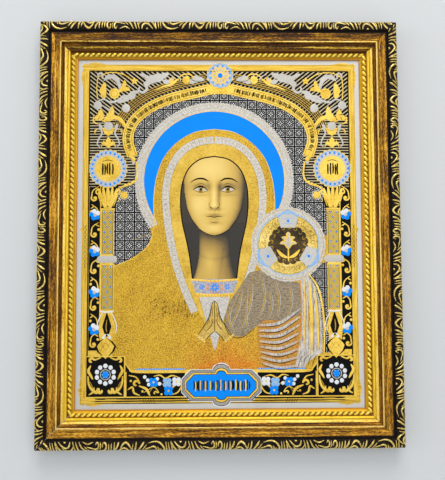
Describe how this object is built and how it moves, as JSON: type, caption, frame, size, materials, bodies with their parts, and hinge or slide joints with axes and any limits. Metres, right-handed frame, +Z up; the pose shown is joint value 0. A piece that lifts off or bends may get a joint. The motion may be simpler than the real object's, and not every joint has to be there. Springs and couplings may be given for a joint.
{
  "type": "icon panel",
  "caption": "Rectangular etched metal icon plate in a mitred gilt moulding frame with scroll-leaf lip and rope bead, hung flat on a wall.",
  "frame": {"origin": "middle of the rear face of the hanger's raised strip, where it meets the wall", "axes": "+Z up along the panel's long side, +Y into the wall, so the picture faces -Y, +X to the viewer's right"},
  "size_m": [0.345, 0.0214, 0.4066],
  "materials": {
    "moulding": "pressed moulding, black lip with pale gilt scrolls, streaked antique-gold bands, bright gilt bead and rope",
    "plate": "steel sheet, etched, gold and silver plated, with blue and black enamel grounds",
    "board": "brown hardboard",
    "hardware": "zinc-plated steel"
  },
  "bodies": {
    "root": {"rail_top": "moulding", "rail_bottom": "moulding", "rail_left": "moulding", "rail_right": "moulding", "icon_plate": "plate", "backing_board": "board", "tab_top_1": "hardware", "tab_top_2": "hardware", "tab_bottom_1": "hardware", "tab_bottom_2": "hardware", "tab_left_1": "hardware", "tab_left_2": "hardware", "tab_right_1": "hardware", "tab_right_2": "hardware", "hanger": "hardware", "hanger_nail_left": "hardware", "hanger_nail_right": "hardware"}
  },
  "joints": []
}
